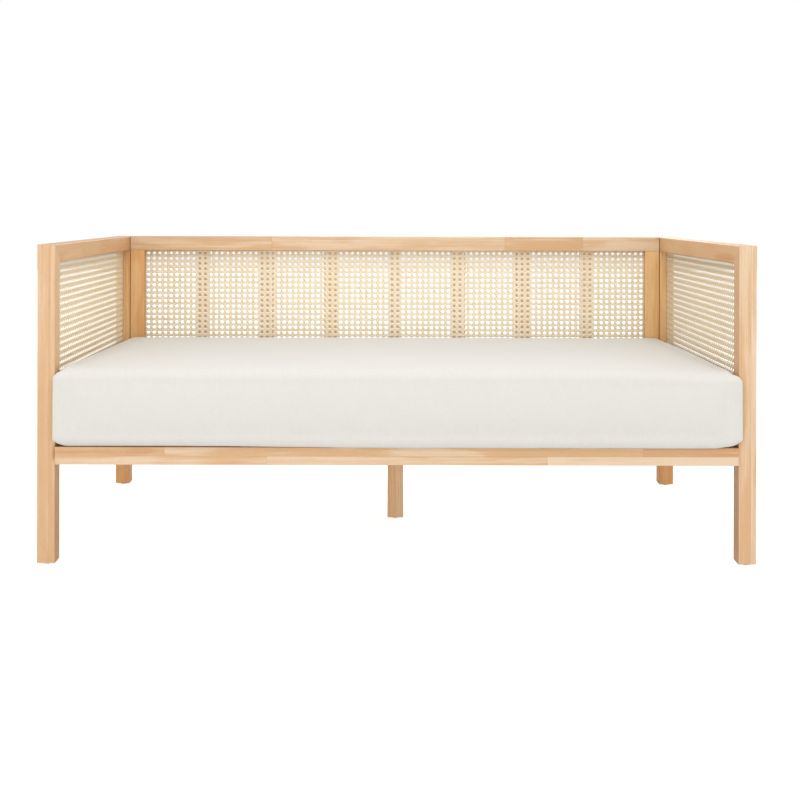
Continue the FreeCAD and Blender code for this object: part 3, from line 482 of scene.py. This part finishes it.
def dress_fittings():
    zinc = steel("zinc_steel", srgb(196, 197, 196), 0.26, 0.0)
    for node in ("frame_bolts", "barrel_nuts", "slat_screws", "ledge_screws", "hanger_screws", "leg_bolt"):
        dress(node, zinc)
    painted = steel("painted_steel", srgb(120, 120, 118), 0.42, 0.3)
    for node in ("left_beam_hanger", "right_beam_hanger"):
        dress(node, painted)
    tree = Tree("glide_plastic")
    grain = tree.noise(tree.place(), 1800, detail=3)
    tree.set("Base Color", tree.mix(grain, srgb(140, 121, 104), srgb(160, 140, 122)))
    tree.set("Roughness", tree.math("MULTIPLY_ADD", grain, 0.2, 0.45))
    tree.bump(grain, 0.00008, 0.7)
    dress("foot_glides", tree.material)


# ---------------------------------------------------------------- cane

PITCH_ACROSS = 20.4 * MM
PITCH_UP = 19.0 * MM
PAIR_SPACING = 5.3 * MM
BACK_STRAND = 5.0 * MM
SIDE_STRAND = 4.8 * MM
STRAND_THICKNESS = 1.05 * MM
WOBBLE = 0.18 * MM
ROW_SHIFT = 0.42
# Tints for three sheets of the same cane: painted light on the back sheet, and painted shade on the side
# sheets, darkest on the right.
BACK_CANE_PAINTED_LIGHT = (1.02, 1.01, 1.01)
LEFT_CANE_PAINTED_SHADE = (0.97, 0.92, 0.84)
RIGHT_CANE_PAINTED_SHADE = (0.84, 0.79, 0.70)


def cane_material(name, tint):
    """Rattan bark: pale straw strands that differ in tone, finely mottled, with a few darker joints.

    A tint multiplies the colour.
    """
    tree = Tree(name)
    place = tree.place()
    tone = tree.add("ShaderNodeAttribute", "Fac", attribute_name="tone")[1]
    fibre = tree.noise(place, (900, 900, 900), detail=2)
    patch = tree.noise(place, 38, detail=3, roughness=0.6)
    joint = tree.ramp(tree.noise(place, 95, detail=1), 0.66, 0.74)
    share = tree.math("MULTIPLY_ADD", patch, 0.7, tree.math("MULTIPLY", tone, 0.6))
    colour = tree.mix(tree.ramp(share, 0.15, 1.05), srgb(254, 247, 230), srgb(252, 236, 205))
    colour = tree.mix(tree.math("MULTIPLY", fibre, 0.08), colour, srgb(214, 180, 130))
    colour = tree.mix(tree.math("MULTIPLY", joint, 0.18), colour, srgb(200, 160, 108))
    colour = tree.mix(1.0, colour, (*tint, 1.0), "MULTIPLY")
    tree.set("Base Color", colour)
    tree.set("Roughness", tree.math("MULTIPLY_ADD", patch, 0.25, 0.38))
    tree.bump(fibre, 0.00006, 0.5)
    return tree.material


def strand_mesh(name, strands, flat):
    """One mesh of closed ribbons.

    Each strand is (points, side, width, tone): its middle line, the direction of its width, its width
    and its tone. Flat is the panel's normal.
    """
    corners, faces, tones = [], [], []
    count = 0
    half_thick = STRAND_THICKNESS / 2
    for points, side, width, tone in strands:
        knots = len(points)
        edge = side * width / 2
        crown = flat * half_thick
        section = np.stack([points - edge, points + crown, points + edge, points - crown], axis=1)
        corners.append(section.reshape(-1, 3))
        ring = np.arange(4)
        after = (ring + 1) % 4
        start = count + 4 * np.arange(knots - 1)[:, None]
        quads = np.stack([start + ring, start + after, start + 4 + after, start + 4 + ring], axis=2)
        faces.append(quads.reshape(-1, 4))
        last = count + 4 * (knots - 1)
        near_end = [count + 3, count + 2, count + 1, count]
        far_end = [last, last + 1, last + 2, last + 3]
        faces.append(np.array([near_end, far_end]))
        tones.append(np.full(knots * 4, tone))
        count += knots * 4
    corners, faces, tones = np.concatenate(corners), np.concatenate(faces), np.concatenate(tones)
    mesh = bpy.data.meshes.new(name)
    mesh.vertices.add(len(corners))
    mesh.vertices.foreach_set("co", corners.astype(np.float32).ravel())
    mesh.loops.add(faces.size)
    mesh.loops.foreach_set("vertex_index", faces.astype(np.int32).ravel())
    mesh.polygons.add(len(faces))
    mesh.polygons.foreach_set("loop_start", np.arange(0, faces.size, 4, dtype=np.int32))
    mesh.update(calc_edges=True)
    mesh.validate()
    mesh.shade_smooth()
    attribute = mesh.attributes.new("tone", "FLOAT", "POINT")
    attribute.data.foreach_set("value", tones.astype(np.float32))
    return mesh


def weave(node, across, material, seed, strand_width):
    """Replaces a flat CAD sheet with open cane, strand by strand.

    Pairs of uprights and pairs of crosswise strands weave plainly through each other, and single
    diagonals pass over one kind of pair and under the other, half way between the crossings. Across is
    the sheet's level axis, and strand_width is the width of a strand before it varies.
    """
    low, high = (np.array(corner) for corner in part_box(node))
    rng = np.random.default_rng(seed)
    thin = 3 - across - Z
    middle = (low + high) / 2
    reach = (high - low) / 2
    unit = np.eye(3)
    pitch = np.array([PITCH_ACROSS, PITCH_UP])
    half = np.array([reach[across], reach[Z]])
    cells = np.floor(half / pitch).astype(int) + 1
    step = STRAND_THICKNESS / 2
    gap = PAIR_SPACING / 2
    pieces = {"uprights": [], "crosswise": [], "rising": [], "falling": []}

    def strand(kind, u, v, lift):
        """Adds a strand whose knots are (u, v) on the sheet and lifted off its middle."""
        inside = (abs(u) <= half[0] + 1e-9) & (abs(v) <= half[1] + 1e-9)
        if inside.sum() < 2:
            return
        u, v, lift = u[inside], v[inside], lift[inside]
        points = middle + np.outer(u, unit[across]) + np.outer(v, unit[Z]) + np.outer(lift, unit[thin])
        run = points[-1] - points[0]
        side = np.cross(unit[thin], run / np.linalg.norm(run))
        points = points + np.outer(rng.normal(0, WOBBLE, len(points)), side)
        width = strand_width * rng.uniform(0.92, 1.06)
        pieces[kind].append((points, side, width, rng.uniform(0, 1)))

    def straight(kind, place, flip, along_half, along_cells, along_pitch, along_rise, swap):
        """One of a pair: it passes over one strand of each crossing pair and under the other.

        It runs up the sheet, or with swap across it. Flip is 1 or -1, for which strand it passes over.
        """
        lines = (np.arange(-along_cells, along_cells + 1) + along_rise) * along_pitch
        knots = np.stack([lines - gap, lines + gap, lines + along_pitch / 2], axis=1).ravel()
        heights = np.tile([-step * flip, step * flip, 0.0], len(lines))
        kept = abs(knots) < along_half - step
        knots = np.concatenate([[-along_half], knots[kept], [along_half]])
        inner = np.concatenate([[0.0], heights[kept], [0.0]])
        fixed = np.full(len(knots), place)
        if swap:
            strand(kind, knots, fixed, inner)
        else:
            strand(kind, fixed, knots, inner)

    for column in range(-cells[0], cells[0] + 1):
        for flip in (-1, 1):
            place = column * pitch[0] + flip * gap
            straight("uprights", place, -flip, half[1], cells[1], pitch[1], ROW_SHIFT, False)
    for row in range(-cells[1], cells[1] + 1):
        for flip in (-1, 1):
            place = (row + ROW_SHIFT) * pitch[1] + flip * gap
            straight("crosswise", place, flip, half[0], cells[0], pitch[0], 0, True)

    # A diagonal is flat while it crosses a pair, and changes sides between two pairs.
    rest = (gap + strand_width / 3) / pitch[0]
    height = 2 * step
    span = cells[0] + cells[1] + 2
    turns = np.array([-rest, rest, 0.5 - rest, 0.5 + rest])
    marks = (np.arange(-span, span + 1)[:, None] + turns[None, :]).ravel()
    for kind, slope, over in (("rising", 1, 1), ("falling", -1, -1)):
        lift = np.tile(np.array([1, 1, -1, -1]) * over * height, 2 * span + 1)
        for line in range(-span, span + 1):
            rows = slope * (marks - line - 0.5) + ROW_SHIFT
            strand(kind, marks * pitch[0], rows * pitch[1], lift)

    for kind, strands in pieces.items():
        name = f"{node}_{kind}"
        mesh = strand_mesh(name, strands, unit[thin])
        mesh.materials.append(material)
        piece = bpy.data.objects.new(name, mesh)
        bpy.context.scene.collection.objects.link(piece)
        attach(piece, "frame")
        if kind == "uprights":
            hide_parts(node)


# ---------------------------------------------------------------- mattress

def fabric(name, base, shade):
    """Off-white linen: a fine plain weave with slubs, seen in the relief and a little in the colour."""
    tree = Tree(name)
    place = tree.place()
    slub = tree.noise(place, (60, 700, 700), detail=3, roughness=0.6)
    cross_slub = tree.noise(place, (700, 60, 60), detail=3, roughness=0.6)
    cloud = tree.noise(place, 5, detail=3)
    weave_height = tree.noise(place, 2400, detail=1)
    threads = tree.math("ADD", tree.math("MULTIPLY", slub, 0.5), tree.math("MULTIPLY", cross_slub, 0.5))
    colour = tree.mix(tree.ramp(threads, 0.3, 0.7), base, shade)
    colour = tree.mix(tree.math("MULTIPLY", cloud, 0.2), colour, shade)
    tree.set("Base Color", colour)
    tree.set("Roughness", 0.92)
    tree.set("Sheen Weight", 0.2)
    tree.set("Sheen Roughness", 0.5)
    relief = tree.math("MULTIPLY_ADD", weave_height, 0.5, threads)
    tree.bump(relief, 0.0003, 0.5)
    return tree.material


# How far the start block stands inside the CAD box on its low and high sides. A negative number is
# outside. It has fine steps near its edges, and coarser ones along X, Y and Z between them.
LOW_INSET = np.array([1.5, -16, 0.5]) * MM
HIGH_INSET = np.array([1.5, 2, 6]) * MM
FINE_STEP = 6 * MM
FINE_COUNT = 7
COARSE_STEPS = (0.022, 0.022, 0.012)

# Radii of its edges and of its upright corners.
FRONT_TOP_EDGE = 31 * MM
SIDE_TOP_EDGE = 18 * MM
BOTTOM_EDGE = 27 * MM
FRONT_CORNER = 9 * MM
BACK_CORNER = 45 * MM

# Points nearer than HELD to a second face of the block stay put, and those farther than FREE move freely.
HELD = 12 * MM
FREE = 70 * MM
HOLD_LEVELS = 20
BLOW_FRAMES = 20
PUFF_LIMIT = 8 * MM

# The top's rise at its front edge, its drop at the back, and the drop of its right front corner.
CROWN_RISE = 17 * MM
BACK_DROP = 1 * MM
RIGHT_DROP = 9 * MM

# How far the cover laps over the posts, how much it widens there, and the gaps it keeps elsewhere.
LEFT_LAP = 5 * MM
RIGHT_LAP = 11 * MM
FRONT_SAG = 5 * MM
SOFT_STRETCH = 0.003
FIRM_STRETCH = 0.0095
POST_GAP = 1.2 * MM
BACK_GAP = 2 * MM
RAIL_GAP = 0.4 * MM

# Heights of the cover's waves, in millimetres.
WAVE_ON_FRONT = 0.9
WAVE_ON_TOP = 1.0


def spaced(start, end, fine, count, coarse):
    """Numbers from start to end: a count of fine steps at each end, and even coarser steps between."""
    border = fine * np.arange(count)
    coarse_count = round((end - start - 2 * fine * count) / coarse)
    inside = np.linspace(start + fine * count, end - fine * count, coarse_count + 1)
    return np.concatenate([start + border, inside, (end - border)[::-1]])


def mattress_start(name, low, high):
    """A closed block of quads, finer towards its edges, with rounded edges and corners."""
    lines = [spaced(low[axis], high[axis], FINE_STEP, FINE_COUNT, COARSE_STEPS[axis])
             for axis in (X, Y, Z)]
    numbers, corners, faces = {}, [], []

    def corner(index):
        if index not in numbers:
            numbers[index] = len(corners)
            corners.append([lines[axis][index[axis]] for axis in (X, Y, Z)])
        return numbers[index]

    for axis in (X, Y, Z):
        u, v = (axis + 1) % 3, (axis + 2) % 3
        for end in (0, len(lines[axis]) - 1):
            for i in range(len(lines[u]) - 1):
                for j in range(len(lines[v]) - 1):
                    around = [(i, j), (i + 1, j), (i + 1, j + 1), (i, j + 1)]
                    quad = []
                    for a, b in around if end else around[::-1]:
                        index = [0, 0, 0]
                        index[axis], index[u], index[v] = end, a, b
                        quad.append(corner(tuple(index)))
                    faces.append(quad)
    points = rounded(np.array(corners), low, high)
    mesh = bpy.data.meshes.new(name)
    mesh.from_pydata(points.tolist(), [], faces)
    piece = bpy.data.objects.new(name, mesh)
    bpy.context.scene.collection.objects.link(piece)
    return piece


def smooth_step(value, start, end):
    """From 0 to 1 while the value goes from start to end, for a whole array."""
    share = np.clip((value - start) / (end - start), 0, 1)
    return share * share * (3 - 2 * share)


def round_off(points, core):
    """Moves the points beyond a core from a square outline onto a round one."""
    away = points - core
    length = np.linalg.norm(away, axis=1, keepdims=True)
    reach = np.max(np.abs(away), axis=1, keepdims=True)
    return core + away * reach / np.maximum(length, 1e-9)


def rounded(points, low, high):
    """Rounds the block: its upright corners in plan, then its top and bottom edges."""
    top = smooth_step(points[:, Z], low[Z], high[Z])
    back = smooth_step(points[:, Y], low[Y], high[Y])
    front = smooth_step(points[:, Y], low[Y] + 90 * MM, low[Y] + 20 * MM)
    top_edge = SIDE_TOP_EDGE + (FRONT_TOP_EDGE - SIDE_TOP_EDGE) * front
    edge = (top_edge * top + BOTTOM_EDGE * (1 - top))[:, None]
    corner = (BACK_CORNER * back + FRONT_CORNER * (1 - back))[:, None]
    flat = points[:, :2]
    points[:, :2] = round_off(flat, np.clip(flat, low[:2] + corner, high[:2] - corner))
    return round_off(points, np.clip(points, low + edge, high - edge))


def settled(piece):
    """The piece's mesh with its modifiers applied."""
    graph = bpy.context.evaluated_depsgraph_get()
    mesh = bpy.data.meshes.new_from_object(piece.evaluated_get(graph))
    piece.modifiers.clear()
    piece.data = mesh
    return mesh


def coordinates(mesh):
    """A mesh's vertices as an array of points."""
    values = np.empty(len(mesh.vertices) * 3, np.float32)
    mesh.vertices.foreach_get("co", values)
    return values.reshape(-1, 3).astype(float)


def hold_edges(piece, low, high):
    """A vertex group that holds the sewn edges and the underside, and leaves the faces free."""
    points = coordinates(piece.data)
    to_faces = np.sort(np.concatenate([points - low, high - points], axis=1), axis=1)
    hold = 1 - smooth_step(to_faces[:, 1], HELD, FREE)
    hold[points[:, Z] < low[Z] + 10 * MM] = 1
    group = piece.vertex_groups.new(name="hold")
    levels = np.round(hold * HOLD_LEVELS).astype(int)
    for level in range(1, HOLD_LEVELS + 1):
        group.add(np.flatnonzero(levels == level).tolist(), level / HOLD_LEVELS, "REPLACE")


def inflate(piece):
    """Blows the cover up from inside while its edges hold, and caps how far a point may move."""
    start = coordinates(piece.data)
    cloth = piece.modifiers.new("cover", "CLOTH")
    cloth.settings.quality = 5
    cloth.settings.use_pressure = True
    cloth.settings.uniform_pressure_force = 1
    cloth.settings.shrink_min = -0.003
    cloth.settings.vertex_group_mass = "hold"
    cloth.settings.effector_weights.gravity = 0
    for number in range(1, BLOW_FRAMES + 1):
        bpy.context.scene.frame_set(number)
    mesh = settled(piece)
    bpy.context.scene.frame_set(1)
    moved = coordinates(mesh) - start
    length = np.linalg.norm(moved, axis=1, keepdims=True) + 1e-9
    return start + moved / length * PUFF_LIMIT * np.tanh(length / PUFF_LIMIT)


def fit_bed(points):
    """Keeps the mattress off the bed. In front of the posts it laps over them a little, and the front's
    lower edge sags between them.
    """
    post_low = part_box("right_front_post")[0]
    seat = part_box("front_rail")[1][Z]
    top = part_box("mattress_cover")[1][Z]
    lap = smooth_step(points[:, Y], post_low[Y] - 1.5 * MM, post_low[Y] - 5 * MM)
    beside = smooth_step(abs(points[:, X]), post_low[X] - 60 * MM, post_low[X] - 8 * MM)
    firm = smooth_step(points[:, Z], seat + 2 * MM, seat + 26 * MM)
    firm *= smooth_step(points[:, Z], top + 14 * MM, top - 23 * MM)
    points[:, X] *= 1 + (SOFT_STRETCH + FIRM_STRETCH * firm) * lap * beside
    limit = post_low[X] - POST_GAP
    points[:, X] = np.clip(points[:, X], -limit - LEFT_LAP * lap, limit + RIGHT_LAP * lap)
    points[:, Y] = np.minimum(points[:, Y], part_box("back_top_rail")[0][Y] - BACK_GAP)
    droop = smooth_step(points[:, Y], post_low[Y] - 3 * MM, post_low[Y] - 9 * MM)
    sag = FRONT_SAG * droop * smooth_step(points[:, X], -post_low[X], 0)
    sag *= smooth_step(points[:, X], post_low[X] - 5 * MM, post_low[X] - 70 * MM)
    points[:, Z] -= sag * smooth_step(points[:, Z], seat + 40 * MM, seat)
    points[:, Z] = np.maximum(points[:, Z], seat + RAIL_GAP - sag)
    return points


def crowned(points, low, high):
    """Raises the top towards its front edge, where the filling is firmest. The right front corner has
    settled a little.
    """
    share = (points - low) / (high - low)
    rise = CROWN_RISE * np.clip(1 - share[:, Y], 0, 1) ** 1.5 - BACK_DROP * share[:, Y]
    rise -= RIGHT_DROP * smooth_step(share[:, X], 0.80, 1.0) * smooth_step(share[:, Y], 0.6, 0.1)
    points[:, Z] += rise * smooth_step(share[:, Z], 0.3, 1.0)
    return points


def wave(point):
    """Slow waves and weaker quick ones, at one point of the cover."""
    x, y, z = point
    slow = noise.noise(Vector((x * 9, y * 7, z * 5)))
    quick = noise.noise(Vector((x * 21, y * 17, z * 9)))
    return slow + 0.6 * quick


def rumple(points, normals):
    """Shallow, slow waves in the cover, about as strong on its top as down its front face."""
    waves = np.array([wave(point) for point in points])
    front = np.clip(-normals[:, Y], 0, 1)
    top = np.clip(normals[:, Z], 0, 1)
    return points + normals * (waves * (WAVE_ON_FRONT * front + WAVE_ON_TOP * top) * MM)[:, None]


def set_points(mesh, points):
    """Moves a mesh's vertices to these points."""
    mesh.vertices.foreach_set("co", points.astype(np.float32).ravel())
    mesh.update()


def make_mattress():
    """The mattress in its cover: a rounded block, blown up, crowned, fitted to the bed and rumpled."""
    low, high = (np.array(corner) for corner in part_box("mattress_cover"))
    low = low + LOW_INSET
    high = high - HIGH_INSET
    piece = mattress_start("linen_mattress", low, high)
    hold_edges(piece, low, high)
    points = inflate(piece)
    set_points(piece.data, fit_bed(crowned(points, low, high)))
    piece.vertex_groups.clear()
    smooth = piece.modifiers.new("fine", "SUBSURF")
    smooth.levels = smooth.render_levels = 1
    mesh = settled(piece)
    normals = np.array([v.normal for v in mesh.vertices])
    set_points(mesh, fit_bed(rumple(coordinates(mesh), normals)))
    mesh.materials.clear()
    mesh.materials.append(fabric("mattress_linen", srgb(210, 208, 203), srgb(204, 201, 194)))
    mesh.shade_smooth()
    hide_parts("mattress_cover")
    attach(piece, "mattress")


def dress_core():
    """The foam inside the cover: open cells in a pale yellow block."""
    tree = Tree("core_foam")
    place = tree.place()
    cells = tree.noise(place, 900, detail=3)
    tree.set("Base Color", tree.mix(cells, srgb(240, 231, 200), srgb(222, 209, 168)))
    tree.set("Roughness", 0.95)
    tree.bump(cells, 0.0006, 0.8)
    dress("mattress_core", tree.material)


# ---------------------------------------------------------------- the scene

make_camera()
make_world()
make_lights()
make_floor()
bpy.context.scene.view_settings.view_transform = "Standard"
dress_wood()
dress_fittings()
# The back cane's tint is painted light, and the side canes' tints are painted shade.
weave("back_cane", X, cane_material("back_cane_lit", BACK_CANE_PAINTED_LIGHT), 1, BACK_STRAND)
weave("left_cane", Y, cane_material("left_cane_shaded", LEFT_CANE_PAINTED_SHADE), 2, SIDE_STRAND)
weave("right_cane", Y, cane_material("right_cane_shaded", RIGHT_CANE_PAINTED_SHADE), 3, SIDE_STRAND)
make_mattress()
dress_core()
